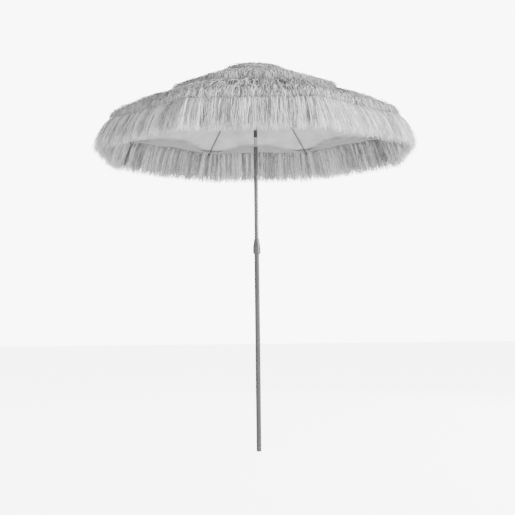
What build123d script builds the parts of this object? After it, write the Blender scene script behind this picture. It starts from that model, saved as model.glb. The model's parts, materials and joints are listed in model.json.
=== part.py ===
"""Thatched beach umbrella: a two-part pole with a twist lock, a tilting head, eight folding ribs with
stretchers and a runner, and a canopy of eight fabric wedges that carry rows of raffia and a fringe.

Frame: millimetres, +Z up, origin at the centre of the foot. Ribs stand at azimuths -112.5 + 45 k degrees,
so a flat side of the octagon faces -Y. Everything is drawn open, upright and with the catch out.
"""

from build123d import *
import os
from math import atan2, cos, degrees, hypot, pi, radians, sin, sqrt, tan

os.makedirs("parts", exist_ok=True)

# --- driving dimensions -------------------------------------------------------------------------------
rib_count = 8
first_azimuth = -112.5        # degrees, rib 1

crown_height = 2240.0         # foot to the circle that the ribs hinge on
canopy_drop = 353.0           # crown hinge down to the rib tips
tip_radius = 862.0            # pole axis to the rib tips
rib_bow = 17.0                # how far a rib bends up between its ends
tilt_drop = 420.0             # crown hinge down to the tilt pin
lock_height = 1196.0          # foot to the top of the lower pole

lower_pole_r = 15.0
lower_pole_wall = 1.5
lower_pole_end_r = 14.6       # where the collar is pressed on
upper_pole_r = 12.5
upper_pole_wall = 1.2
pole_overlap = 296.0          # how much of the upper pole is inside the lower one
head_shaft_r = 11.0
head_shaft_wall = 1.1

gap = 0.3                     # clearance between pieces that move past each other
fit = 0.1                     # radial clearance of rivets and wires in their eyes
slide_gap = 0.4               # radial clearance of the pole in the lock

plug_height = 12.0
plug_insert = 28.0
plug_foot_r = 7.0
plug_edge = 8.0

collar_r = 22.25
collar_length = 43.0
collar_edge = 4.0
neck_r = 16.6
neck_height = 17.0
seat_height = 9.0             # the cone in the neck that the collet sits in
seat_spread = 1.4
nut_height = 44.5
nut_base_r = 21.5
nut_top_r = 14.75
nut_edge = 1.5
nut_bore_depth = 22.0         # the cone above the thread that squeezes the collet
nut_cone_top_r = 15.4
collet_height = 24.0
collet_rim = 4.0
collet_slit = 2.0
collet_slits = 4

joint_r = 9.75                # tilt joint
joint_foot = 30.0             # pole top to pin
joint_plug = 30.0
joint_slot = 8.6
joint_floor = 10.5            # pin down to the floor of the fork
joint_neck = 6.0              # pin up to the knuckle's shoulder
joint_top = 26.0              # pin up to the head shaft
tilt_pin_r = 2.5
tilt_pin_inset = 0.5
button_r = 3.2
button_out = 2.0
button_inside = 8.0
button_height = 10.0          # above the pole top
spring_r = 2.6
spring_wire = 0.8
spring_length = 7.0

hinge_r = 22.0                # circle of the rib and stretcher hinges
ring_wire_r = 1.2
hub_r = 27.0
hub_up = 8.0
hub_down = 7.0
hub_neck_r = 14.5
hub_neck_height = 18.0
hub_roof = 3.0
cap_r = 26.0
cap_height = 8.0
cap_stem_r = 4.0
cap_stem = 4.0
tang_thickness = 3.0
tang_half = 3.1               # half of a rib tang's height, and the radius of its eye end
foot_half = 2.5               # the same for a stretcher's tang
rod_start = 16.0              # hinge to where the round rod begins

rib_r = 3.5
rod_wall = 0.8
rod_solid = 36.0              # length of a rib's rod that is not hollow, from its hinge end
stretcher_r = 2.8
stretcher_station = 386.0     # along the rib's chord to the stretcher clip
clip_drop = 10.0              # rib centreline down to the stretcher rivet
clip_thickness = 2.0
clip_half = 5.0
clip_sleeve = 0.4             # wall of the sleeve crimped round the rib
clip_sleeve_past = 2.0        # sleeve beyond the tab, each way
rivet_r = 1.5
rivet_head_r = 3.0
rivet_head = 1.0
ear_thickness = 1.6
ear_length = 16.0
ear_half = 4.0
tip_ball_r = 6.0
tip_sleeve_r = 4.8
tip_sleeve = 18.0

runner_r = 17.5
runner_play = 0.8             # radial clearance on the upper pole
runner_below = 50.0           # runner hinge down to the sleeve's lower end
runner_flange_up = 7.0
runner_flange_down = 8.0
catch_out = 4.2
catch_height = 15.0
catch_thickness = 3.0
catch_inside = 7.0
catch_spring_r = 3.5

fabric_thickness = 1.2
fabric_inner_r = 30.0
fabric_short = 9.0            # the hem stops this far inside the rib tips
panel_gap = 0.8               # between neighbouring wedges
thatch_thickness = 3.0
fringe_thickness = 3.0
canopy_facets = 5

# rows of raffia: (radius on the rib, height of the underside above the fabric)
tuft_row = [(34.0, 4.0), (118.0, 40.0), (196.0, 62.0)]
middle_row = [(168.0, 8.0), (330.0, 50.0), (500.0, 56.0)]
rim_row = [(478.0, 10.0), (620.0, 50.0), (780.0, 46.0), (865.0, 26.0)]
# fringe below the rim: (outwards from the rib tips, down from the rib tips) to its outer face
fringe_line = [(12.0, 2.0), (62.0, 48.0), (86.0, 96.0), (94.0, 150.0)]
# loose raffia over the crown: (radius, height above its flat underside)
crown_tuft = [(0.0, 0.0), (108.0, 0.0), (120.0, 4.5), (82.0, 28.5), (0.0, 42.5)]
tuft_play = 1.5               # between that underside and the cap or the first row

# --- places worked out from them ----------------------------------------------------------------------
half_sector = pi / rib_count
tip_z = crown_height - canopy_drop
pin_z = crown_height - tilt_drop
pole_top = pin_z - joint_foot
shaft_bottom = pin_z + joint_top
nut_bottom = lock_height + gap
neck_top = lock_height + neck_height
seat_bottom = neck_top - seat_height
pole_bore = upper_pole_r + slide_gap

chord = hypot(tip_radius - hinge_r, canopy_drop)
chord_slope = atan2(canopy_drop, tip_radius - hinge_r)
arc_r = (chord**2 / 4 + rib_bow**2) / (2 * rib_bow)
chord_mid = ((hinge_r + tip_radius) / 2, crown_height - canopy_drop / 2)
arc_centre = (
    chord_mid[0] - (arc_r - rib_bow) * sin(chord_slope),
    chord_mid[1] - (arc_r - rib_bow) * cos(chord_slope),
)


def rib_height(radius):
    """Height of a rib's centreline at a distance from the pole axis: its arc, from hinge to tip."""
    return arc_centre[1] + sqrt(arc_r**2 - (radius - arc_centre[0]) ** 2)


def rib_slope(radius):
    """Slope of that arc, in radians below level."""
    return atan2(radius - arc_centre[0], rib_height(radius) - arc_centre[1])


clip_radius = hinge_r + stretcher_station * cos(chord_slope)
clip_slope = rib_slope(clip_radius)
rivet_x = clip_radius - clip_drop * sin(clip_slope)
rivet_z = rib_height(clip_radius) - clip_drop * cos(clip_slope)
link = hypot(rivet_x - hinge_r, crown_height - rivet_z)
link_slope = atan2(crown_height - rivet_z, rivet_x - hinge_r)
runner_z = crown_height - 2 * link * sin(link_slope)
runner_bore = upper_pole_r + runner_play
runner_bottom = runner_z - runner_below
fabric_lift = tip_sleeve_r + gap
print(f"link {link:.3f} slope {degrees(link_slope):.3f}",
      f"rivet {rivet_x:.3f} {rivet_z:.3f} runner {runner_z:.3f}")


def fabric_height(radius):
    """Underside of the fabric over a rib: clear of the rib's thickest part, square to the rib."""
    return rib_height(radius) + fabric_lift / cos(rib_slope(radius))


def radial_plane(azimuth):
    """Upright plane through the pole axis: local x points outwards and local y up."""
    a = radians(azimuth)
    return Plane(origin=(0, 0, 0), x_dir=(cos(a), sin(a), 0), z_dir=(sin(a), -cos(a), 0))


def along(start, slope, distance):
    """The point at a distance from start, going outwards and down at a slope, in a radial plane."""
    return (start[0] + distance * cos(slope), start[1] - distance * sin(slope))


def band(stations, thickness):
    """Outline of a sheet in the middle plane of a canopy panel, from its underside's stations.

    A station is a radius on a rib and a height. A panel is level across, so the same height lies nearer
    the pole on the panel's middle plane than on the rib, by the cosine of half a sector.
    """
    under = [(radius * cos(half_sector), height) for radius, height in stations]
    over = [(x, z + thickness) for x, z in reversed(under)]
    return under + over


def fringe_outline():
    """Outline of the fringe in the same plane: its outer face, moved inwards by its thickness."""
    outer = [((tip_radius + out) * cos(half_sector), tip_z - down) for out, down in fringe_line]
    inner = [(x - fringe_thickness, z) for x, z in reversed(outer)]
    return outer + inner


def row_stations(row):
    """A row's underside as radius and height."""
    return [(radius, fabric_height(radius) + lift) for radius, lift in row]


def save(part, name):
    """Name a finished piece and write it."""
    part.label = name
    export_step(part, f"parts/{name}.step")


# --- lower pole ---------------------------------------------------------------------------------------
with BuildPart() as lower_pole:
    with BuildSketch(Plane.XY.offset(plug_height)):
        Circle(lower_pole_r)
        Circle(lower_pole_r - lower_pole_wall, mode=Mode.SUBTRACT)
    extrude(amount=lock_height - collar_length - plug_height)
    with BuildSketch(Plane.XY.offset(lock_height - collar_length)):
        Circle(lower_pole_end_r)
        Circle(lower_pole_r - lower_pole_wall, mode=Mode.SUBTRACT)
    extrude(amount=collar_length)
save(lower_pole.part, "lower_pole")

with BuildPart() as ground_plug:
    with BuildSketch(Plane.XZ):
        with BuildLine():
            Polyline((0, plug_height + plug_insert), (0, 0), (plug_foot_r, 0))
            RadiusArc((plug_foot_r, 0), (lower_pole_r, plug_edge), -(lower_pole_r - plug_foot_r + gap))
            Polyline(
                (lower_pole_r, plug_edge),
                (lower_pole_r, plug_height),
                (lower_pole_r - lower_pole_wall, plug_height),
                (lower_pole_r - lower_pole_wall, plug_height + plug_insert),
                (0, plug_height + plug_insert),
            )
        make_face()
    revolve(axis=Axis.Z)
save(ground_plug.part, "ground_plug")

# the collar is fixed on the lower pole's end, and its neck carries the thread and the collet's seat
with BuildPart() as lock_collar:
    with BuildSketch(Plane.XZ):
        with BuildLine():
            Polyline(
                (lower_pole_end_r, lock_height - collar_length),
                (collar_r, lock_height - collar_length),
                (collar_r, lock_height),
                (neck_r, lock_height),
                (neck_r, neck_top),
                (pole_bore + seat_spread + gap, neck_top),
                (pole_bore + gap, seat_bottom),
                (pole_bore, seat_bottom),
                (pole_bore, lock_height),
                (lower_pole_end_r, lock_height),
                close=True,
            )
        make_face()
    revolve(axis=Axis.Z)
    fillet(lock_collar.edges().filter_by(GeomType.CIRCLE).group_by(Axis.Z)[0].sort_by(SortBy.RADIUS)[-1],
           radius=collar_edge)
save(lock_collar.part, "lock_collar")

with BuildPart() as lock_collet:
    with BuildSketch(Plane.XZ):
        with BuildLine():
            Polyline(
                (upper_pole_r + slide_gap / 2, seat_bottom + gap),
                (pole_bore, seat_bottom + gap),
                (pole_bore + seat_spread, neck_top),
                (pole_bore + gap, seat_bottom + collet_height),
                (upper_pole_r + slide_gap / 2, seat_bottom + collet_height),
                close=True,
            )
        make_face()
    revolve(axis=Axis.Z)
    with BuildSketch(Plane.XY.offset(seat_bottom)):
        with PolarLocations(0, collet_slits):
            Rectangle(2 * neck_r, collet_slit, align=(Align.MIN, Align.CENTER))
    extrude(amount=collet_height - collet_rim, mode=Mode.SUBTRACT)
save(lock_collet.part, "lock_collet")

with BuildPart() as lock_nut:
    with BuildSketch(Plane.XZ):
        with BuildLine():
            Polyline(
                (neck_r + gap, nut_bottom),
                (nut_base_r, nut_bottom),
                (nut_top_r, nut_bottom + nut_height),
                (pole_bore, nut_bottom + nut_height),
                (pole_bore, neck_top + nut_bore_depth),
                (nut_cone_top_r, neck_top + 2 * gap),
                (neck_r + gap, neck_top + 2 * gap),
                close=True,
            )
        make_face()
    revolve(axis=Axis.Z)
    fillet(lock_nut.edges().filter_by(GeomType.CIRCLE).group_by(Axis.Z)[-1].sort_by(SortBy.RADIUS)[-1],
           radius=min(nut_edge, (nut_top_r - pole_bore) / 2))
save(lock_nut.part, "lock_nut")

# --- upper pole and tilt joint ------------------------------------------------------------------------
with BuildPart() as upper_pole:
    with BuildSketch(Plane.XY.offset(lock_height - pole_overlap)):
        Circle(upper_pole_r)
        Circle(upper_pole_r - upper_pole_wall, mode=Mode.SUBTRACT)
    extrude(amount=pole_top - lock_height + pole_overlap)
    fillet(upper_pole.edges().filter_by(GeomType.CIRCLE).group_by(Axis.Z)[-1].sort_by(SortBy.RADIUS)[-1],
           radius=upper_pole_wall / 2)
save(upper_pole.part, "upper_pole")

button_z = pole_top + button_height
with BuildPart() as tilt_socket:
    with BuildSketch(Plane.XY.offset(pole_top - joint_plug)):
        Circle(upper_pole_r - upper_pole_wall)
    extrude(amount=joint_plug)
    with BuildSketch(Plane.XY.offset(pole_top)):
        Circle(joint_r)
    extrude(amount=joint_foot)
    # the fork's ears are round about the pin
    with BuildSketch(Plane.XZ.offset(-joint_r)):
        with Locations((0, pin_z)):
            Circle(joint_r)
    extrude(amount=2 * joint_r)
    with BuildSketch(Plane.XY.offset(pin_z)):
        Circle(2 * joint_r)
        Circle(joint_r, mode=Mode.SUBTRACT)
    extrude(amount=2 * joint_r, both=True, mode=Mode.SUBTRACT)
    with BuildSketch(Plane.XY.offset(pin_z - joint_floor)):
        Rectangle(3 * joint_r, joint_slot)
    extrude(amount=2 * joint_floor, mode=Mode.SUBTRACT)
    with BuildSketch(Plane.XZ.offset(-joint_r)):
        with Locations((0, pin_z)):
            Circle(tilt_pin_r)
    extrude(amount=2 * joint_r, mode=Mode.SUBTRACT)
    with BuildSketch(Plane.XZ.offset(button_inside - spring_length - gap)):
        with Locations((0, button_z)):
            Circle(button_r + gap)
    extrude(amount=2 * joint_r, mode=Mode.SUBTRACT)
save(tilt_socket.part, "tilt_socket")

with BuildPart() as tilt_pin:
    with BuildSketch(Plane.XZ.offset(tilt_pin_inset - joint_r)):
        with Locations((0, pin_z)):
            Circle(tilt_pin_r)
    extrude(amount=2 * (joint_r - tilt_pin_inset))
save(tilt_pin.part, "tilt_pin")

with BuildPart() as tilt_button:
    with BuildSketch(Plane.XZ.offset(joint_r + button_out - button_inside)):
        with Locations((0, button_z)):
            Circle(button_r)
    extrude(amount=button_inside)
    fillet(tilt_button.edges().sort_by(Axis.Y)[0], radius=button_r / 3)
save(tilt_button.part, "tilt_button")

spring_front = joint_r + button_out - button_inside
with BuildPart() as tilt_spring:
    with BuildSketch(Plane.XZ.offset(button_inside - spring_length - gap)):
        with Locations((0, button_z)):
            Circle(spring_r)
            Circle(spring_r - spring_wire, mode=Mode.SUBTRACT)
    extrude(amount=spring_front - (button_inside - spring_length - gap))
save(tilt_spring.part, "tilt_spring")

with BuildPart() as tilt_knuckle:
    with BuildSketch(Plane.XY.offset(pin_z + joint_neck)):
        Circle(joint_r)
    extrude(amount=joint_top - joint_neck)
    with BuildSketch(Plane.XY.offset(shaft_bottom)):
        Circle(head_shaft_r - head_shaft_wall)
    extrude(amount=joint_plug)
    # the shoulder is hollowed about the pin, and rides over the round ears
    with BuildSketch(Plane.XZ.offset(-joint_r)):
        with Locations((0, pin_z)):
            Circle(joint_r + 2 * gap)
    extrude(amount=2 * joint_r, mode=Mode.SUBTRACT)
    with BuildSketch(Plane.XZ.offset(gap - joint_slot / 2)):
        with Locations((0, pin_z)):
            Circle(joint_r)
            Rectangle(2 * (joint_r - gap), joint_top, align=(Align.CENTER, Align.MIN))
    extrude(amount=joint_slot - 2 * gap)
    with BuildSketch(Plane.XZ.offset(-joint_r)):
        with Locations((0, pin_z)):
            Circle(tilt_pin_r + fit)
    extrude(amount=2 * joint_r, mode=Mode.SUBTRACT)
save(tilt_knuckle.part, "tilt_knuckle")

# --- head: shaft, hub, cap, ring ----------------------------------------------------------------------
hub_bottom = crown_height - hub_down
hub_top = crown_height + hub_up
catch_top = runner_bottom - 2 * gap
catch_bore = head_shaft_r - head_shaft_wall
with BuildPart() as head_shaft:
    with BuildSketch(Plane.XY.offset(shaft_bottom)):
        Circle(head_shaft_r)
        Circle(catch_bore, mode=Mode.SUBTRACT)
    extrude(amount=hub_top - hub_roof - shaft_bottom)
    with BuildSketch(Plane.YZ):
        with Locations((0, catch_top + gap)):
            Rectangle(catch_thickness + 2 * gap, catch_height + 2 * gap, align=(Align.CENTER, Align.MAX))
    extrude(amount=2 * head_shaft_r, mode=Mode.SUBTRACT)
save(head_shaft.part, "head_shaft")

with BuildPart() as runner_catch:
    with BuildSketch(Plane.XZ.offset(-catch_thickness / 2)):
        with BuildLine():
            Polyline(
                (head_shaft_r - catch_inside, catch_top),
                (head_shaft_r + catch_out, catch_top),
                (head_shaft_r + catch_out, catch_top - catch_height / 4),
                (head_shaft_r, catch_top - catch_height),
                (head_shaft_r - catch_inside, catch_top - catch_height),
                close=True,
            )
        make_face()
    extrude(amount=catch_thickness)
save(runner_catch.part, "runner_catch")

with BuildPart() as catch_spring:
    with BuildSketch(Plane.YZ.offset(2 * gap - catch_bore)):
        with Locations((0, catch_top - catch_height / 2)):
            Circle(catch_spring_r)
            Circle(catch_spring_r - spring_wire, mode=Mode.SUBTRACT)
    extrude(amount=catch_bore + head_shaft_r - catch_inside - 3 * gap)
save(catch_spring.part, "catch_spring")


def notched_flange(plane, radius, height):
    """A round flange with an open notch at each rib for a tang, added to the part being built."""
    with BuildSketch(plane) as flange:
        Circle(radius)
        with PolarLocations(0, rib_count, start_angle=first_azimuth):
            with Locations((hinge_r - tang_half - 2 * gap, 0)):
                Rectangle(radius, tang_thickness + 2 * gap, align=(Align.MIN, Align.CENTER),
                          mode=Mode.SUBTRACT)
    extrude(flange.sketch, amount=height)


def wire_groove(height, open_to):
    """Cut the groove for a hinge ring: round about the wire and open to one face of its flange."""
    low, high = min(height, open_to), max(height, open_to)
    with BuildSketch(Plane.XZ) as groove:
        with Locations((hinge_r, height)):
            Circle(ring_wire_r + fit)
        with Locations((hinge_r, low)):
            Rectangle(2 * (ring_wire_r + fit), high - low, align=(Align.CENTER, Align.MIN))
    revolve(groove.sketch, axis=Axis.Z, mode=Mode.SUBTRACT)


with BuildPart() as crown_hub:
    notched_flange(Plane.XY.offset(hub_bottom), hub_r, hub_up + hub_down)
    with BuildSketch(Plane.XY.offset(hub_bottom - hub_neck_height)):
        Circle(hub_neck_r)
    extrude(amount=hub_neck_height)
    wire_groove(crown_height, hub_top)
    with BuildSketch(Plane.XY.offset(hub_bottom - hub_neck_height)):
        Circle(head_shaft_r)
    extrude(amount=hub_neck_height + hub_down + hub_up - hub_roof, mode=Mode.SUBTRACT)
    with BuildSketch(Plane.XY.offset(hub_top - cap_stem)):
        Circle(cap_stem_r)
    extrude(amount=cap_stem, mode=Mode.SUBTRACT)
save(crown_hub.part, "crown_hub")

with BuildPart() as crown_cap:
    with BuildSketch(Plane.XY.offset(hub_top)):
        Circle(cap_r)
    extrude(amount=cap_height)
    fillet(crown_cap.edges().group_by(Axis.Z)[-1], radius=cap_height / 2)
    with BuildSketch(Plane.XY.offset(hub_top - hub_roof)):
        Circle(cap_stem_r)
    extrude(amount=hub_roof)
save(crown_cap.part, "crown_cap")


def hinge_ring(height, name):
    """The wire ring that a circle of tangs hinges on."""
    with BuildPart() as ring:
        with BuildSketch(Plane.XZ):
            with Locations((hinge_r, height)):
                Circle(ring_wire_r)
        revolve(axis=Axis.Z)
    save(ring.part, name)


hinge_ring(crown_height, "crown_ring")
hinge_ring(runner_z, "runner_ring")


# --- runner -------------------------------------------------------------------------------------------
with BuildPart() as runner:
    notched_flange(Plane.XY.offset(runner_z - runner_flange_down), hub_r,
                   runner_flange_up + runner_flange_down)
    with BuildSketch(Plane.XY.offset(runner_bottom)):
        Circle(runner_r)
    extrude(amount=runner_below - runner_flange_down)
    wire_groove(runner_z, runner_z - runner_flange_down)
    with BuildSketch(Plane.XY.offset(runner_bottom)):
        Circle(runner_bore)
    extrude(amount=2 * runner_below, mode=Mode.SUBTRACT)
save(runner.part, "runner")


# --- ribs and stretchers ------------------------------------------------------------------------------
def flat_bar(plane, start, slope, length, half_height, eye_r):
    """The outline of a flat bar with a round, pierced end, in the radial plane of a rib."""
    with BuildSketch(plane) as bar:
        with Locations(start):
            Circle(half_height)
        with Locations(Location((start[0], start[1], 0), (0, 0, -degrees(slope)))):
            Rectangle(length, 2 * half_height, align=(Align.MIN, Align.CENTER))
        with Locations(start):
            Circle(eye_r, mode=Mode.SUBTRACT)
    return bar.sketch


def rib_section(azimuth, radius):
    """Plane square to a rib's arc at a distance from the pole axis, facing along the rib."""
    slope = rib_slope(radius)
    return Plane(
        origin=radial_plane(azimuth).from_local_coords((radius, rib_height(radius))),
        x_dir=tangent(azimuth),
        z_dir=(cos(radians(azimuth)) * cos(slope), sin(radians(azimuth)) * cos(slope), -sin(slope)),
    )


def tangent(azimuth):
    """Level direction square to a rib: a hinge along it folds the rib down when it turns forwards."""
    return (-sin(radians(azimuth)), cos(radians(azimuth)), 0)


def make_rib(number, azimuth):
    """Rib: flat tang with its eye, round tube along the arc, stretcher clip, rivet and tip cap."""
    plane = radial_plane(azimuth)
    rivet = (rivet_x, rivet_z)
    tang_slope = rib_slope(hinge_r)
    rod_inner = hinge_r + rod_start * cos(tang_slope)
    bend = Axis(plane.from_local_coords(arc_centre), tangent(azimuth))
    swing = degrees(rib_slope(tip_radius) - rib_slope(rod_inner))
    with BuildPart() as rib:
        with BuildSketch(rib_section(azimuth, rod_inner)):
            Circle(rib_r)
        revolve(axis=bend, revolution_arc=swing)
        tang = flat_bar(plane, (hinge_r, crown_height), tang_slope, rod_start + 2 * rib_r, tang_half,
                        ring_wire_r + 3 * fit)
        extrude(tang, amount=tang_thickness / 2, both=True)
        # the rod is a tube from its tip to just short of the flattened end
        bore_inner = rod_inner + rod_solid * cos(tang_slope)
        with BuildSketch(rib_section(azimuth, tip_radius)):
            Circle(rib_r - rod_wall)
        revolve(axis=bend, revolution_arc=degrees(rib_slope(bore_inner) - rib_slope(tip_radius)),
                mode=Mode.SUBTRACT)
        # clip: a sleeve round the rod, and a tab that hangs below it with the rivet hole
        with BuildSketch(rib_section(azimuth, clip_radius)):
            Circle(rib_r + clip_sleeve)
            Circle(rib_r - rod_wall / 2, mode=Mode.SUBTRACT)
        extrude(amount=clip_half + clip_sleeve_past, both=True)
        with BuildSketch(plane):
            with Locations(rivet):
                Circle(clip_half)
            with Locations(Location((rivet[0], rivet[1], 0), (0, 0, -degrees(clip_slope)))):
                Rectangle(2 * clip_half, clip_drop - rib_r + rod_wall / 2, align=(Align.CENTER, Align.MIN))
            with Locations(rivet):
                Circle(rivet_r + fit, mode=Mode.SUBTRACT)
        extrude(amount=clip_thickness / 2, both=True)
    with BuildPart() as pivot:
        grip = clip_thickness / 2 + gap + ear_thickness + gap
        with BuildSketch(plane):
            with Locations(rivet):
                Circle(rivet_r)
        extrude(amount=grip, both=True)
        for side in (1, -1):
            with BuildSketch(plane.offset(side * grip)):
                with Locations(rivet):
                    Circle(rivet_head_r)
            extrude(amount=side * rivet_head)
    end = rib_section(azimuth, tip_radius)
    with BuildPart() as tip:
        with BuildSketch(end.offset(-tip_sleeve)):
            Circle(tip_sleeve_r)
        extrude(amount=tip_sleeve)
        with Locations(end):
            Sphere(tip_ball_r)
        with BuildSketch(end):
            Circle(rib_r + fit)
        revolve(axis=bend, revolution_arc=-swing / 2, mode=Mode.SUBTRACT)
    save(Compound(children=[rib.part, pivot.part, tip.part]), f"rib_{number}")


def make_stretcher(number, azimuth):
    """Stretcher: a round rod with a fork over the rib's clip and a flat tang for the runner's ring."""
    rivet = (rivet_x, rivet_z)
    low = (hinge_r, runner_z)
    plane = radial_plane(azimuth)
    back = pi - link_slope            # from the rivet inwards and down
    up = -link_slope                  # from the runner outwards and up
    inner = clip_thickness / 2 + gap
    with BuildPart() as stretcher:
        fork = flat_bar(plane, rivet, back, ear_length, ear_half, rivet_r + fit)
        extrude(fork, amount=inner + ear_thickness, both=True)
        with BuildSketch(plane):
            with Locations(rivet):
                Circle(ear_length - ear_half)
        extrude(amount=inner, both=True, mode=Mode.SUBTRACT)
        tang = flat_bar(plane, low, up, rod_start + stretcher_r, foot_half, ring_wire_r + 3 * fit)
        extrude(tang, amount=tang_thickness / 2, both=True)
        foot = along(low, up, rod_start)
        head = along(rivet, back, ear_length - ear_half / 2)
        with BuildLine(plane) as path:
            Line(foot, head)
        with BuildSketch(Plane(origin=path.line @ 0, z_dir=path.line % 0)):
            Circle(stretcher_r)
        sweep(path=path.line)
    save(stretcher.part, f"stretcher_{number}")


# --- canopy -------------------------------------------------------------------------------------------
def wedge(outlines, azimuth):
    """The soft solids of one rib: each outline is drawn in the middle plane of the next panel, run level
    to the rib's plane, cut there, and mirrored to the other side of the rib."""
    panel = radial_plane(azimuth + degrees(half_sector)).offset(panel_gap / 2)
    a = radians(azimuth)
    rib_plane = Plane(origin=(0, 0, 0), x_dir=(cos(a), sin(a), 0), z_dir=(-sin(a), cos(a), 0))
    solids = []
    for outline in outlines:
        reach = max(x for x, z in outline) * tan(half_sector) * 2
        with BuildPart() as soft:
            with BuildSketch(panel):
                with BuildLine():
                    Polyline(*outline, close=True)
                make_face()
            extrude(amount=reach)
            split(bisect_by=rib_plane, keep=Keep.TOP)
            mirror(about=rib_plane)
        solids.append(soft.part)
    return solids


# the tuft lies clear of both the cap and the strip over the first row
row_top = fabric_height(tuft_row[1][0]) + tuft_row[1][1] + thatch_thickness
tuft_bottom = max(hub_top + cap_height, row_top) + tuft_play
with BuildPart() as top_tuft:
    with BuildSketch(Plane.XZ):
        with BuildLine():
            Polyline(*[(radius, tuft_bottom + lift) for radius, lift in crown_tuft], close=True)
        make_face()
    revolve(axis=Axis.Z)
save(top_tuft.part, "top_tuft")

fabric_outer_r = tip_radius - fabric_short
fabric_stations = [
    fabric_inner_r + (fabric_outer_r - fabric_inner_r) * k / canopy_facets for k in range(canopy_facets + 1)
]
fabric_outline = band([(radius, fabric_height(radius)) for radius in fabric_stations], fabric_thickness)
row_outlines = [band(row_stations(row), thatch_thickness) for row in (tuft_row, middle_row, rim_row)]

for k in range(rib_count):
    azimuth = first_azimuth + k * 360 / rib_count
    make_rib(k + 1, azimuth)
    make_stretcher(k + 1, azimuth)
    save(wedge([fabric_outline], azimuth)[0], f"gore_{k + 1}")
    save(Compound(children=wedge(row_outlines, azimuth)), f"thatch_{k + 1}")
    save(wedge([fringe_outline()], azimuth)[0], f"valance_{k + 1}")
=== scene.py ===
"""Visual model of a thatched beach umbrella: raffia rows and fringe, canopy cloth, finishes, studio.

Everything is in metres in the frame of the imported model: +Z up, origin at the centre of the pole's foot.
The cloth and the raffia are worked out with numpy from the hinge places of that frame.
"""

import json
import logging
from dataclasses import dataclass, field
from enum import Enum
from math import atan2, cos, hypot, pi, radians, sin
from typing import ClassVar

import bpy
import numpy as np
from mathutils import Matrix


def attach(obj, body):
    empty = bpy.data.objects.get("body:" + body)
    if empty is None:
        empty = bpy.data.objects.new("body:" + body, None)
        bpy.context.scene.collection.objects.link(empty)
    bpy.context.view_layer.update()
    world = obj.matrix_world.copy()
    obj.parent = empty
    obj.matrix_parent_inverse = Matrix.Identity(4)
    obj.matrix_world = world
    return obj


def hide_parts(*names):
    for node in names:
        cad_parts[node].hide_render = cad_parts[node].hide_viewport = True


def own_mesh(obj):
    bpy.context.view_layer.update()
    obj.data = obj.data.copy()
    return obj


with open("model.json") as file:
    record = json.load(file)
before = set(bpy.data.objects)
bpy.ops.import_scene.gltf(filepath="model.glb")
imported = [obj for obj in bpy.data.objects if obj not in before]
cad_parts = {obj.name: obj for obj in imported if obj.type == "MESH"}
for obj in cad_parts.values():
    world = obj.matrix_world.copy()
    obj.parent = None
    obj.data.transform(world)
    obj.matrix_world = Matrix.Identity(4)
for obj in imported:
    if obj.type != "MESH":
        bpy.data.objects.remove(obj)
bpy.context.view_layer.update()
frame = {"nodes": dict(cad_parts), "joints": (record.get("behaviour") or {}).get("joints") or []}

log = logging.getLogger("umbrella")
MM = 0.001
Array = np.ndarray
Point = tuple[float, float, float]


# ------------------------------------------------------------------------------------------- materials
def linear(code: str) -> tuple[float, float, float, float]:
    """Turn an sRGB hex colour into linear light.

    Args:
        code: six hex digits, such as "c8c8c8".

    Returns:
        Linear red, green, blue and alpha 1; each channel follows the sRGB curve.
    """
    values = [int(code[i : i + 2], 16) / 255 for i in (0, 2, 4)]
    light = [v / 12.92 if v <= 0.04045 else ((v + 0.055) / 1.055) ** 2.4 for v in values]
    return (*light, 1.0)


def add_node(tree: bpy.types.NodeTree, kind: str, inputs: dict | None = None, **settings) -> bpy.types.Node:
    """Add a node with its settings, input values and links.

    Args:
        tree: the node tree that gets it.
        kind: the node's type name.
        inputs: socket name or number to a value, or to the output socket that feeds it.
        settings: the node's own properties.

    Returns:
        The new node.
    """
    node = tree.nodes.new(kind)
    for name, value in settings.items():
        setattr(node, name, value)
    for key, value in (inputs or {}).items():
        if isinstance(value, bpy.types.NodeSocket):
            tree.links.new(value, node.inputs[key])
        else:
            node.inputs[key].default_value = value
    return node


def new_material(name: str, **constants: float) -> tuple[bpy.types.Material, bpy.types.Node]:
    """Make a material with constants on its Principled shader's own sockets.

    Args:
        name: the finish's name.
        constants: socket names, with _ for a space, to values.

    Returns:
        The material and its Principled node.
    """
    material = bpy.data.materials.new(name)
    material.use_nodes = True
    shader = material.node_tree.nodes["Principled BSDF"]
    for key, value in constants.items():
        shader.inputs[key.replace("_", " ")].default_value = value
    return material, shader


def ramp(tree: bpy.types.NodeTree, factor: bpy.types.NodeSocket,
         stops: tuple[tuple[float, str], ...]) -> bpy.types.NodeSocket:
    """Add a colour ramp.

    Args:
        tree: the node tree.
        factor: what drives the ramp.
        stops: places from 0 to 1, each with its hex colour.

    Returns:
        The ramp's colour.
    """
    node = add_node(tree, "ShaderNodeValToRGB", {"Fac": factor})
    elements = node.color_ramp.elements
    while len(elements) < len(stops):
        elements.new(0.5)
    for element, (place, code) in zip(elements, stops):
        element.position = place
        element.color = linear(code)
    return node.outputs["Color"]


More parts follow.
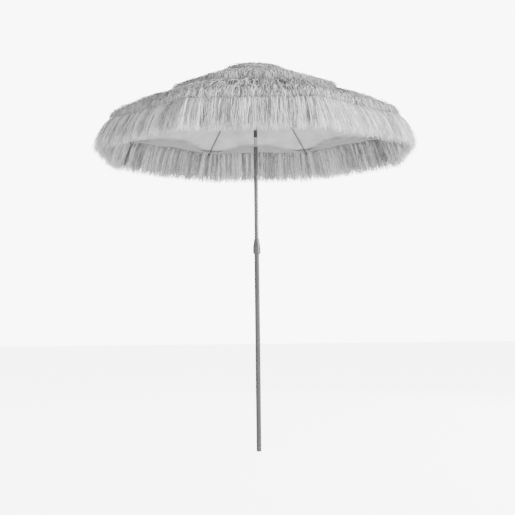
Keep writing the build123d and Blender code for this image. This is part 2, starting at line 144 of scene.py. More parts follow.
@dataclass(frozen=True)
class Raffia:
    """Polypropylene raffia: drawn film, split and crinkled. Each strand has its own tone and a soft gloss,
    and its colour is painted darker near its root, as shade where it lies deep among the others.

    stops are the colours over tone. root_shade is the colour's share at the root, shade_end where
    along the strand it is full again, and split the size of the film's splits in millimetres."""

    name: str
    stops: tuple[tuple[float, str], ...]
    root_shade: float = 0.5
    shade_end: float = 0.6
    split: float = 7.0
    split_share: float = 0.5

    def build(self) -> bpy.types.Material:
        """Make the material.

        Returns:
            Tone from the strand's own attribute plus fine splits, scaled down towards its root as painted
            shade.
        """
        material, shader = new_material(self.name, Roughness=0.62, Specular_IOR_Level=0.3, IOR=1.49)
        tree = material.node_tree
        tone = add_node(tree, "ShaderNodeAttribute", attribute_name="tone").outputs["Fac"]
        along = add_node(tree, "ShaderNodeAttribute", attribute_name="along").outputs["Fac"]
        place = add_node(tree, "ShaderNodeTexCoord").outputs["Object"]
        splits = add_node(tree, "ShaderNodeTexNoise",
                          {"Vector": place, "Scale": 1 / (self.split * MM), "Detail": 2.0}).outputs["Fac"]
        # noise is about a half, so its share is taken off again by half
        mixed = add_node(tree, "ShaderNodeMath", {0: splits, 1: self.split_share, 2: tone},
                         operation="MULTIPLY_ADD")
        factor = add_node(tree, "ShaderNodeMath", {0: mixed.outputs[0], 1: self.split_share / 2},
                          operation="SUBTRACT")
        colour = ramp(tree, factor.outputs[0], self.stops)
        # painted shade: the colour is scaled from root_shade at the root up to full at shade_end along the
        # strand
        depth = add_node(tree, "ShaderNodeMapRange",
                         {"Value": along, "From Min": 0.0, "From Max": self.shade_end,
                          "To Min": self.root_shade, "To Max": 1.0}).outputs["Result"]
        shaded = add_node(tree, "ShaderNodeVectorMath", {0: colour, "Scale": depth}, operation="SCALE")
        tree.links.new(shaded.outputs["Vector"], shader.inputs["Base Color"])
        bump = add_node(tree, "ShaderNodeBump", {"Height": splits, "Strength": 0.3, "Distance": 0.5 * MM})
        tree.links.new(bump.outputs["Normal"], shader.inputs["Normal"])
        return material


@dataclass(frozen=True)
class PolyesterCloth:
    """Coated polyester canopy cloth, plain weave: matt, even, with a faint sheen at a low angle. Its
    threads are drawn coarser than the real 0.4 mm ones so that they show.

    dark is the colour painted as shade on the doubled hem and on the slack cloth beyond the line from tip
    to tip, and edge how far the cloth's colour goes towards it there. thread and blotch, the size of the
    mottle, are in millimetres."""

    name: str
    colour: str
    dark: str
    thread: float = 1.6
    blotch: float = 90.0
    edge: float = 0.6

    def build(self) -> bpy.types.Material:
        """Make the material.

        Returns:
            Warp and weft waves on the cloth's own UV map, in metres, as bump, over a faint mottle, with
            painted shade on the hem and the slack edge.
        """
        material, shader = new_material(self.name, Roughness=0.78, Specular_IOR_Level=0.25, IOR=1.46,
                                        Sheen_Weight=0.12, Sheen_Roughness=0.45)
        tree = material.node_tree
        cloth = add_node(tree, "ShaderNodeUVMap", uv_map="cloth").outputs["UV"]
        place = add_node(tree, "ShaderNodeTexCoord").outputs["Object"]
        # a wave texture runs through 20 radians per unit at scale 1; a thread is one whole wave
        turns = pi / (self.thread * MM) / 10
        waves = [add_node(tree, "ShaderNodeTexWave", {"Vector": cloth, "Scale": turns, "Distortion": 0.0},
                          wave_type="BANDS", bands_direction=way).outputs["Fac"] for way in "XY"]
        weave = add_node(tree, "ShaderNodeMath", {0: waves[0], 1: waves[1]}, operation="MULTIPLY")
        mottle = add_node(tree, "ShaderNodeTexNoise",
                          {"Vector": place, "Scale": 1 / (self.blotch * MM), "Detail": 3.0})
        loose = add_node(tree, "ShaderNodeAttribute", attribute_name="loose").outputs["Fac"]
        # painted shade: the doubled hem and the slack cloth beyond the line from tip to tip are drawn
        # darker, for the shadow of the fringe, the double hem's lower translucency and the drooping cloth's
        # turn away from the light
        tone_mix = add_node(tree, "ShaderNodeMath", {0: loose, 1: -self.edge, 2: mottle.outputs["Fac"]},
                        operation="MULTIPLY_ADD").outputs[0]
        colour = ramp(tree, tone_mix, ((0.0, self.dark), (0.7, self.colour)))
        tree.links.new(colour, shader.inputs["Base Color"])
        bump = add_node(tree, "ShaderNodeBump",
                        {"Height": weave.outputs[0], "Strength": 0.25, "Distance": 0.2 * MM})
        tree.links.new(bump.outputs["Normal"], shader.inputs["Normal"])
        return material


@dataclass(frozen=True)
class HardFinish:
    """A hard finish: paint, moulded plastic, cast or drawn metal.

    grain is the size in millimetres of its surface texture, relief that texture's depth, and stretch
    draws the texture out along Z, as on a drawn tube. worn is the colour where it is rubbed, in
    patches of a size of patch millimetres, where the larger noise is in wear_band; rubbed is how far
    the colour goes there. gloss_swing is how the roughness varies over gloss_band."""

    name: str
    colour: str
    tone_mix: str
    roughness: float
    metallic: float = 0.0
    ior: float = 1.5
    coat: float = 0.0
    grain: float = 1.2
    relief: float = 0.03
    stretch: float = 1.0
    rubbed: float = 0.35
    patch: float = 35.0
    wear_band: tuple[float, float] = (0.42, 0.72)
    gloss_band: tuple[float, float] = (0.3, 0.7)
    gloss_swing: tuple[float, float] = (0.88, 1.15)

    def build(self) -> bpy.types.Material:
        """Make the material.

        Returns:
            Noise grain as bump, and a second, larger noise that mixes in the rubbed colour and gloss.
        """
        material, shader = new_material(self.name, Metallic=self.metallic, IOR=self.ior,
                                        Coat_Weight=self.coat, Coat_Roughness=0.25)
        tree = material.node_tree
        place = add_node(tree, "ShaderNodeTexCoord").outputs["Object"]
        drawn = add_node(tree, "ShaderNodeMapping", {"Vector": place, "Scale": (1, 1, 1 / self.stretch)})
        fine = add_node(tree, "ShaderNodeTexNoise",
                        {"Vector": drawn.outputs[0], "Scale": 1 / (self.grain * MM), "Detail": 2.0})
        broad = add_node(tree, "ShaderNodeTexNoise",
                         {"Vector": drawn.outputs[0], "Scale": 1 / (self.patch * MM), "Detail": 4.0})
        wear = add_node(tree, "ShaderNodeMapRange",
                        {"Value": broad.outputs["Fac"], "From Min": self.wear_band[0],
                         "From Max": self.wear_band[1], "To Min": 0.0,
                         "To Max": self.rubbed}).outputs["Result"]
        colour = ramp(tree, wear, ((0.0, self.colour), (1.0, self.tone_mix)))
        tree.links.new(colour, shader.inputs["Base Color"])
        gloss = add_node(tree, "ShaderNodeMapRange",
                         {"Value": broad.outputs["Fac"], "From Min": self.gloss_band[0],
                          "From Max": self.gloss_band[1],
                          "To Min": self.roughness * self.gloss_swing[0],
                          "To Max": self.roughness * self.gloss_swing[1]})
        tree.links.new(gloss.outputs["Result"], shader.inputs["Roughness"])
        bump = add_node(tree, "ShaderNodeBump", {"Height": fine.outputs["Fac"], "Strength": 0.6,
                                                 "Distance": self.relief * MM})
        tree.links.new(bump.outputs["Normal"], shader.inputs["Normal"])
        return material


class Finish(Enum):
    """Every finish of the umbrella, by the part that it is on."""

    POLE_PAINT = HardFinish("powder_coated_steel", "3c3c3c", "565656", 0.36, coat=0.25, stretch=4.0)
    TUBE_ENAMEL = HardFinish("glossy_enamelled_steel", "444444", "666666", 0.22, coat=0.6, grain=0.8,
                             relief=0.015, stretch=12.0)
    HEAD_PAINT = HardFinish("dark_powder_coated_steel", "363636", "4e4e4e", 0.45, coat=0.1, stretch=4.0)
    RIB_PAINT = HardFinish("black_lacquered_steel", "484848", "6c6c6c", 0.4, coat=0.2, grain=0.9)
    LOCK_PLASTIC = HardFinish("moulded_grey_nylon", "464646", "5c5c5c", 0.4, ior=1.53, relief=0.05)
    DARK_PLASTIC = HardFinish("moulded_dark_polypropylene", "3c3c3c", "525252", 0.52, ior=1.49)
    CAST_METAL = HardFinish("die_cast_aluminium", "b0b0b0", "cccccc", 0.44, metallic=0.75, grain=0.8,
                            relief=0.06)
    BRIGHT_STEEL = HardFinish("bright_rivet_steel", "bcbcbc", "dadada", 0.28, metallic=1.0, grain=0.5)
    SPRING_STEEL = HardFinish("blued_spring_steel", "7e7e7e", "a2a2a2", 0.33, metallic=1.0, grain=0.5)
    # the cloth's second colour is painted shade on its hem and slack edge
    CLOTH = PolyesterCloth("coated_polyester_cloth", "b6b6b6", "868686")
    THATCH = Raffia("raffia_thatch", ((0.0, "4a4a4a"), (0.3, "a4a4a4"), (0.65, "d6d6d6"), (1.0, "fafafa")),
                    root_shade=0.55)
    # painted light: the fringe is the same raffia as the thatch, with brighter colours that stand in for
    # light shining through its thin film; its roots are painted darker as shade over the first fifth of
    # each strand
    FRINGE = Raffia("raffia_fringe", ((0.0, "909090"), (0.3, "c2c2c2"), (0.65, "e4e4e4"), (1.0, "ffffff")),
                    root_shade=0.3, shade_end=0.2)

    def material(self) -> bpy.types.Material:
        """The finish's material, made the first time that it is asked for."""
        found = bpy.data.materials.get(self.value.name)
        return found or self.value.build()


# ------------------------------------------------------------------------------------------ mesh making
def make_mesh(name: str, points: Array, faces: list[Array], finish: Finish) -> bpy.types.Object:
    """Make a mesh object from whole arrays.

    Args:
        name: the piece's name.
        points: (n, 3) places.
        faces: arrays of corner numbers, one per corner count, each (m, corners), outwards.
        finish: the finish that it wears.

    Returns:
        The linked object at the origin, shaded smooth.
    """
    mesh = bpy.data.meshes.new(name)
    mesh.vertices.add(len(points))
    mesh.vertices.foreach_set("co", np.ascontiguousarray(points, np.float32).ravel())
    corners = np.concatenate([f.ravel() for f in faces]).astype(np.int32)
    counts = np.concatenate([np.full(len(f), f.shape[1]) for f in faces])
    starts = np.concatenate([[0], np.cumsum(counts)[:-1]]).astype(np.int32)
    mesh.loops.add(len(corners))
    mesh.loops.foreach_set("vertex_index", corners)
    mesh.polygons.add(len(counts))
    mesh.polygons.foreach_set("loop_start", starts)
    mesh.polygons.foreach_set("use_smooth", np.ones(len(counts), bool))
    mesh.update(calc_edges=True)
    mesh.materials.append(finish.material())
    piece = bpy.data.objects.new(name, mesh)
    bpy.context.scene.collection.objects.link(piece)
    return piece


def add_attribute(piece: bpy.types.Object, name: str, values: Array) -> None:
    """Store one number per vertex under a name.

    Args:
        piece: the mesh object.
        name: the attribute's name.
        values: one number per vertex.
    """
    layer = piece.data.attributes.new(name, "FLOAT", "POINT")
    layer.data.foreach_set("value", np.ascontiguousarray(values, np.float32).ravel())


def unit(vectors: Array) -> Array:
    """Scale vectors along the last axis to length 1."""
    return vectors / np.maximum(np.linalg.norm(vectors, axis=-1, keepdims=True), 1e-9)


@dataclass(frozen=True)
class StrandCut:
    """How a kind of raffia is cut: its width, how much that varies from strand to strand, its taper
    along the strand, and how much a strand's flat side turns from level."""

    width: float
    vary: tuple[float, float] = (0.6, 1.25)
    taper_at: tuple[float, ...] = (0.0, 0.2, 0.7, 1.0)
    taper: tuple[float, ...] = (0.6, 1.0, 0.95, 0.35)
    turn: float = 0.35

    def widths(self, rng: np.random.Generator, way: Array, count: int) -> Array:
        """Width of each strand along it: its own share of the cut's width, times the taper."""
        return self.width * rng.uniform(*self.vary, (count, 1)) * np.interp(way, self.taper_at, self.taper)

    def sides(self, rng: np.random.Generator, theta: Array) -> Array:
        """Direction of each strand's flat side: level and round the pole, turned at random."""
        level = np.stack([-np.sin(theta), np.cos(theta), np.zeros(len(theta))], axis=-1)
        return unit(level + rng.normal(0, self.turn, level.shape))


@dataclass
class Strands:
    """Raffia strands as arrays: a middle line, a width and a tone for each strand.

    line is (strands, rings, 3), width (strands, rings), tone (strands,), and flat is the direction in
    which each strand's flat side lies, (strands, 3)."""

    line: Array
    width: Array
    tone: Array
    flat: Array
    ridge: ClassVar[float] = 0.66

    def piece(self, name: str, finish: Finish) -> bpy.types.Object:
        """Build the strands as closed ribbons of triangular section.

        Each ring has two edge corners, half a width either side of the line, and a ridge corner a
        third of a width above it; neighbouring rings are joined by three quads, and the ends closed.

        Args:
            name: the piece's name.
            finish: its finish.

        Returns:
            The mesh object with "tone" and "along" attributes.
        """
        count, rings = self.width.shape
        along = unit(np.gradient(self.line, axis=1))
        up = unit(np.cross(along, self.flat[:, None, :]))
        side = np.cross(up, along)
        half = self.width[..., None] / 2
        ring = np.stack([self.line - half * side, self.line + half * side,
                         self.line + self.ridge * half * up], axis=2)
        number = np.arange(count * rings * 3).reshape(count, rings, 3)
        turn = np.roll(number, -1, axis=2)
        quads = np.stack([number[:, :-1], turn[:, :-1], turn[:, 1:], number[:, 1:]], axis=-1)
        caps = np.concatenate([number[:, 0, ::-1], number[:, -1]])
        piece = make_mesh(name, ring.reshape(-1, 3), [quads.reshape(-1, 4), caps], finish)
        add_attribute(piece, "tone", np.repeat(self.tone, rings * 3))
        add_attribute(piece, "along", np.tile(np.repeat(np.linspace(0, 1, rings), 3), count))
        return piece

    @staticmethod
    def merged(parts: list["Strands"]) -> "Strands":
        """Put several sets of strands with the same number of rings into one."""
        return Strands(*(np.concatenate([getattr(p, key) for p in parts])
                         for key in ("line", "width", "tone", "flat")))


# --------------------------------------------------------------------------------------------- canopy
@dataclass(frozen=True)
class CanopyForm:
    """The canopy's shape at rest, from the frame's own hinges: eight ribs along a shallow arc.

    bow is how far a rib bends up between its ends, and lift how far the cloth's middle is above a
    rib's middle line: it clears the thick sleeve at the rib's tip."""

    hinge_r: float
    hinge_z: float
    tip_r: float
    tip_z: float
    first: float
    count: int = 8
    bow: float = 0.017
    lift: float = 0.0051

    @classmethod
    def from_frame(cls) -> "CanopyForm":
        """Read the hinge circle and the tip circle from the frame's joints."""
        places = {j["name"]: j["pos_m"] for j in frame["joints"] if j.get("pos_m")}
        root, tip = places["fold"], places["valance_1_hang"]
        return cls(hypot(*root[:2]), root[2], hypot(*tip[:2]), tip[2], atan2(root[1], root[0]))

    @property
    def sector(self) -> float:
        """Angle between neighbouring ribs."""
        return 2 * pi / self.count

    def azimuth(self, number: float) -> float:
        """Azimuth of a rib; a half number is the middle of a panel."""
        return self.first + self.sector * (number - 1)

    def rib_z(self, radius: Array) -> Array:
        """Height of a rib's middle line: a circle's arc through hinge and tip, bowed up between.

        Args:
            radius: distances from the pole's axis.

        Returns:
            Heights; the arc's radius is (chord squared / 4 + bow squared) / (2 bow).
        """
        run, drop = self.tip_r - self.hinge_r, self.hinge_z - self.tip_z
        chord, slope = hypot(run, drop), atan2(drop, run)
        arc_r = (chord**2 / 4 + self.bow**2) / (2 * self.bow)
        centre_r = (self.tip_r + self.hinge_r) / 2 - (arc_r - self.bow) * sin(slope)
        centre_z = (self.tip_z + self.hinge_z) / 2 - (arc_r - self.bow) * cos(slope)
        return centre_z + np.sqrt(arc_r**2 - (radius - centre_r) ** 2)

    def slope(self, radius: Array) -> Array:
        """Downward slope of a rib, in radians: the arc's rise over 2 mm."""
        return np.arctan((self.rib_z(radius - MM) - self.rib_z(radius + MM)) / (2 * MM))

    def cloth_z(self, radius: Array) -> Array:
        """Height of the cloth's middle over a rib, at the lift square to it."""
        return self.rib_z(radius) + self.lift / np.cos(self.slope(radius))

    def spread(self, theta: Array) -> Array:
        """How far out a panel is at an azimuth, as a share of the rib's: flat between two ribs."""
        half = self.sector / 2
        off = np.mod(theta - self.first, self.sector) - half
        return np.cos(half) / np.cos(off)

    def facing(self, theta: Array, share: float) -> Array:
        """Direction in which the fringe falls outwards at an azimuth.

        Args:
            theta: azimuths on the rim.
            share: how much of the way to the radial direction it turns over a panel's middle.

        Returns:
            The panel's own normal, turned evenly by share of the way out, and the rest of the way by
            the fifth power of it, so that it fans out at the ribs.
        """
        half = self.sector / 2
        off = np.mod(theta - self.first, self.sector) - half
        way = off / half
        return theta - off + half * (share * way + (1 - share) * way**5)

    def place(self, theta: Array, radius: Array, height: Array) -> Array:
        """Point over the cloth.

        Args:
            theta: azimuths.
            radius: distances along the panel, as measured on the ribs.
            height: distances out of the cloth, square to it.

        Returns:
            (..., 3) places: out along the panel, then height along its upward normal.
        """
        slope = self.slope(radius)
        out = radius * self.spread(theta) + height * np.sin(slope)
        return np.stack([out * np.cos(theta), out * np.sin(theta),
                         self.cloth_z(radius) + height * np.cos(slope)], axis=-1)

    def across(self, number: int) -> tuple[float, float, float]:
        """Level direction square to a rib, along its hinge."""
        angle = self.azimuth(number)
        return (-sin(angle), cos(angle), 0.0)

    def gather(self, piece: bpy.types.Object, number: int, keep: float) -> None:
        """Give a soft piece its own copy of its mesh."""
        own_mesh(piece)


@dataclass
class CanopyCloth:
    """The cloth over one rib, from the middle of one panel to the middle of the next.

    It is stretched from rib to rib: it sags a little between them, its hem is drawn in between the
    tips, and pulls run from tip to tip along the hem. The pulls are waves of pull_wave, they bend in
    by pull_bend and fade out over pull_fade. Beyond a line from tip to tip, which starts slack_start
    from the hem at a rib, the cloth is slack over slack_blend. Ripples run slantwise."""

    form: CanopyForm
    inner: float = 0.030
    outer: float = 0.853
    thick: float = 0.0011
    sag: float = 0.005
    hem_draw: float = 0.022
    hem_width: float = 0.028
    hem_extra: float = 0.0009
    pull: float = 0.0040
    pull_wave: float = 0.034
    pull_bend: float = 0.055
    pull_fade: float = 0.12
    slack: float = 0.016
    slack_start: float = 0.014
    slack_width: float = 0.075
    slack_blend: float = 0.03
    ripple: float = 0.0010
    ripple_slant: tuple[float, float] = (9.0, 2.2)
    ripple_turns: float = 2.6
    hem_step: float = 0.003
    columns: int = 74
    rows: int = 96
    keep: float = 0.13

    def surface(self, across: Array, along: Array, number: int) -> tuple[Array, Array]:
        """Middle surface of the cloth.

        Args:
            across: from -1, the middle of the panel before the rib, to 1, the middle of the next.
            along: from 0 at the crown to 1 at the hem.
            number: the rib's number.

        Returns:
            (..., 3) places, and two shares per place: of the hem's extra thickness, and of the slack
            edge. The cloth's depth is the sag, a half sine across the panel, plus the slack edge's
            drop and the pulls, which are sines of the distance from a curve from tip to tip.
        """
        form = self.form
        away = np.abs(across)
        between = np.sin(away * pi / 2)
        reach = self.outer - self.hem_draw * between**1.5 * along**2
        radius = self.inner + (reach - self.inner) * along
        half = form.sector / 2
        # even steps across the panel's flat, turned into azimuths
        theta = form.azimuth(number) + np.arctan(np.tan(half) * (away - 1)) * np.sign(across) \
            + half * np.sign(across)
        from_hem = reach - radius
        bent = from_hem + self.pull_bend * between
        near_hem = np.exp(-((from_hem / self.pull_fade) ** 2)) * np.sin(away * pi / 2) ** 0.5
        depth = -self.sag * between * np.sin(pi * along) ** 0.6
        depth -= self.pull * near_hem * np.sin(2 * pi * bent / self.pull_wave)
        # beyond the line from tip to tip the cloth drops, by a smooth step
        loose = self.slack_start + self.slack_width * between - from_hem
        loose = np.clip(loose / self.slack_blend, 0, 1)
        loose = loose * loose * (3 - 2 * loose)
        depth -= self.slack * loose * between
        slant = (radius * self.ripple_slant[0] + away * self.ripple_slant[1]) * 2 * pi
        # ripples are strongest at two thirds of the way down, and fade towards the crown and the hem
        fade = between * np.clip(1.6 - 1.2 * along, 0, 1) * along
        depth -= self.ripple * np.sin(slant * self.ripple_turns) * fade
        band = np.clip((self.hem_width - from_hem) / self.hem_step, 0, 1)
        return form.place(theta, radius, depth), np.stack([band, loose])

    def build(self, number: int) -> bpy.types.Object:
        """Args:
            number: the rib's number, from 1.

        Returns:
            The piece: a closed sheet of two skins a thickness apart, joined round its edges.
        """
        u, v = np.meshgrid(np.linspace(-1, 1, self.columns + 1), np.linspace(0, 1, self.rows + 1))
        middle, (band, loose) = self.surface(u, v, number)
        du, dv = np.gradient(middle, axis=1), np.gradient(middle, axis=0)
        normal = unit(np.cross(dv, du))
        half = (self.thick + self.hem_extra * band)[..., None] / 2
        skins = np.stack([middle + half * normal, middle - half * normal])
        number_of = np.arange(skins[..., 0].size).reshape(skins.shape[:3])
        top, under = number_of
        cells = np.stack([top[:-1, :-1], top[1:, :-1], top[1:, 1:], top[:-1, 1:]], axis=-1)
        below = np.stack([under[:-1, :-1], under[:-1, 1:], under[1:, 1:], under[1:, :-1]], axis=-1)
        ring_top = np.concatenate([top[0, :-1], top[:-1, -1], top[-1, :0:-1], top[:0:-1, 0]])
        ring_low = np.concatenate([under[0, :-1], under[:-1, -1], under[-1, :0:-1], under[:0:-1, 0]])
        wall = np.stack([ring_top, np.roll(ring_top, -1), np.roll(ring_low, -1), ring_low], axis=-1)
        piece = make_mesh(f"canopy_cloth_{number}", skins.reshape(-1, 3),
                          [np.concatenate([cells.reshape(-1, 4), below.reshape(-1, 4), wall])],
                          Finish.CLOTH)
        self.add_cloth_map(piece, middle)
        # painted shade: the hem band or the slack edge, whichever is more, marks where the cloth is drawn
        # darker
        add_attribute(piece, "loose", np.tile(np.maximum(loose, band).ravel(), 2))
        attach(piece, f"rib_{number}")
        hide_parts(f"gore_{number}")
        self.form.gather(piece, number, self.keep)
        return piece

    @staticmethod
    def add_cloth_map(piece: bpy.types.Object, middle: Array) -> None:
        """Give the cloth a UV map in metres: distance across from the rib, and down along it.

        Args:
            piece: the cloth.
            middle: its middle surface, (rows, columns, 3).
        """
        step_u = np.linalg.norm(np.diff(middle, axis=1), axis=-1)
        step_v = np.linalg.norm(np.diff(middle, axis=0), axis=-1)
        u = np.pad(np.cumsum(step_u, axis=1), ((0, 0), (1, 0)))
        u = u - u[:, u.shape[1] // 2][:, None]
        v = np.pad(np.cumsum(step_v, axis=0), ((1, 0), (0, 0)))
        uv = np.tile(np.stack([u, v], axis=-1).reshape(-1, 2), (2, 1))
        corner = np.empty(len(piece.data.loops), np.int32)
        piece.data.loops.foreach_get("vertex_index", corner)
        layer = piece.data.uv_layers.new(name="cloth")
        layer.data.foreach_set("uv", uv[corner].astype(np.float32).ravel())


# --------------------------------------------------------------------------------------------- raffia
@dataclass(frozen=True)
class ThatchRow:
    """One sewn row of raffia on the cloth.

    profile gives the row's height over the cloth at distances from the pole's axis, and share how
    many of the rib's strands it has."""

    profile: tuple[tuple[float, float], ...]
    share: float

    def top(self, radius: Array) -> Array:
        """Height of the row's upper surface over the cloth."""
        radii, heights = zip(*self.profile)
        return np.interp(radius, radii, heights)

    @property
    def ends(self) -> tuple[float, float]:
        """Where the row starts and where it ends."""
        return self.profile[0][0], self.profile[-1][0]


@dataclass
class Thatch:
    """Rows of raffia over the cloth: shaggy strands that rise from it and fall over at their ends.

    face is the share of a row's strands that hang at its front, with roots up to face_depth behind
    its end and no nearer to it than face_near of that. ragged is how far strand ends vary about the
    row's end, and under how far a row's start is covered by the row above. stray is how much strands
    lean sideways, in radians, and waves how far their crinkle turns along them, in radians."""

    form: CanopyForm
    rows: tuple[ThatchRow, ...] = (
        ThatchRow(((0.040, 0.012), (0.118, 0.036), (0.190, 0.048)), 0.10),
        ThatchRow(((0.180, 0.008), (0.270, 0.036), (0.380, 0.056), (0.500, 0.058)), 0.36),
        ThatchRow(((0.485, 0.008), (0.580, 0.036), (0.690, 0.054), (0.800, 0.054), (0.872, 0.038)), 0.54),
    )
    strands: int = 3300
    face: float = 0.34
    face_depth: float = 0.085
    face_near: float = 0.25
    ragged: float = 0.022
    rings: int = 6
    cut: StrandCut = StrandCut(0.0044)
    reach: tuple[float, float] = (0.06, 0.15)
    end_gap: float = 0.02
    stray: float = 0.22
    crinkle: float = 0.0045
    waves: tuple[float, float] = (2.5, 7.0)
    narrow: float = 0.08
    end_zone: float = 0.06
    lowest: float = 0.0025
    under: float = 0.065
    keep: float = 0.13

    def row_strands(self, row: ThatchRow, number: int, rng: np.random.Generator) -> Strands:
        """Strands of one row over one rib.

        Args:
            row: the row.
            number: the rib's number.
            rng: the random source.

        Returns:
            Strands whose height over the cloth is a share of the row's top at that distance, rising
            from the root and falling with the fourth power of the way along, with a sideways wander.
        """
        form = self.form
        count = int(self.strands * row.share)
        start, end = row.ends
        # roots are as dense as the circle is long, so the draw is even over the area
        root = np.sqrt(rng.uniform(start**2, (end - self.end_gap) ** 2, count))
        # the row's front has strands of its own, which hang over the start of the next row
        root = np.where(rng.uniform(size=count) < self.face,
                        end - self.face_depth * rng.uniform(self.face_near, 1, count), root)
        reach = rng.uniform(*self.reach, count)
        last = np.minimum(root + reach, end + rng.uniform(-self.ragged, 0.6 * self.ragged, count))
        theta = form.azimuth(number) + form.sector * rng.uniform(-0.5, 0.5, count)
        way = np.linspace(0, 1, self.rings)
        radius = root[:, None] + (last - root)[:, None] * way
        drift = rng.normal(0, self.stray, count) * (last - root) / np.maximum(root, self.narrow)
        wave = rng.uniform(0, 2 * pi, (count, 1)) + way * rng.uniform(*self.waves, (count, 1))
        sway = np.sin(wave) * self.crinkle * rng.uniform(0.3, 1, (count, 1))
        bob = np.cos(wave * 1.3) * self.crinkle * rng.uniform(0.2, 1, (count, 1))
        angle = theta[:, None] + drift[:, None] * way + sway / np.maximum(radius, self.narrow)
        lift = rng.beta(2.2, 1.2, count)[:, None] * 1.08
        # strands that end at the row's front fall over further than the ones behind
        at_end = np.clip((last - end + self.end_zone) / self.end_zone, 0, 1)[:, None]
        droop = rng.uniform(0.1, 0.6, (count, 1)) * (1 - at_end) + rng.uniform(0.35, 1, (count, 1)) * at_end
        rise = np.clip(0.3 + way / 0.4, 0, 1)
        height = row.top(radius) * lift * rise * (1 - droop * way**4) + bob * rise
        line = form.place(angle, radius, np.maximum(height, self.lowest))
        width = self.cut.widths(rng, way, count)
        # the start of a row lies under the end of the row above it, and strands rooted there are painted
        # darker as shade; strands that lie lower are painted darker and those that stand higher lighter, as
        # painted shade and light
        covered = np.clip((start + self.under - root) / self.under, 0, 1)
        tone = rng.normal(0.52, 0.22, count) + 0.15 * (lift[:, 0] - 0.6) - 1.1 * covered
        return Strands(line, width, np.clip(tone, 0, 1), self.cut.sides(rng, theta))

    def build(self, number: int) -> bpy.types.Object:
        """Build the thatch over one rib.

        Args:
            number: the rib's number.

        Returns:
            The piece, riding on the rib.
        """
        rng = np.random.default_rng(100 + number)
        parts = [self.row_strands(row, number, rng) for row in self.rows]
        piece = Strands.merged(parts).piece(f"raffia_thatch_{number}", Finish.THATCH)
        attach(piece, f"rib_{number}")
        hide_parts(f"thatch_{number}")
        self.form.gather(piece, number, self.keep)
        log.info("%s: %d faces", piece.name, len(piece.data.polygons))
        return piece


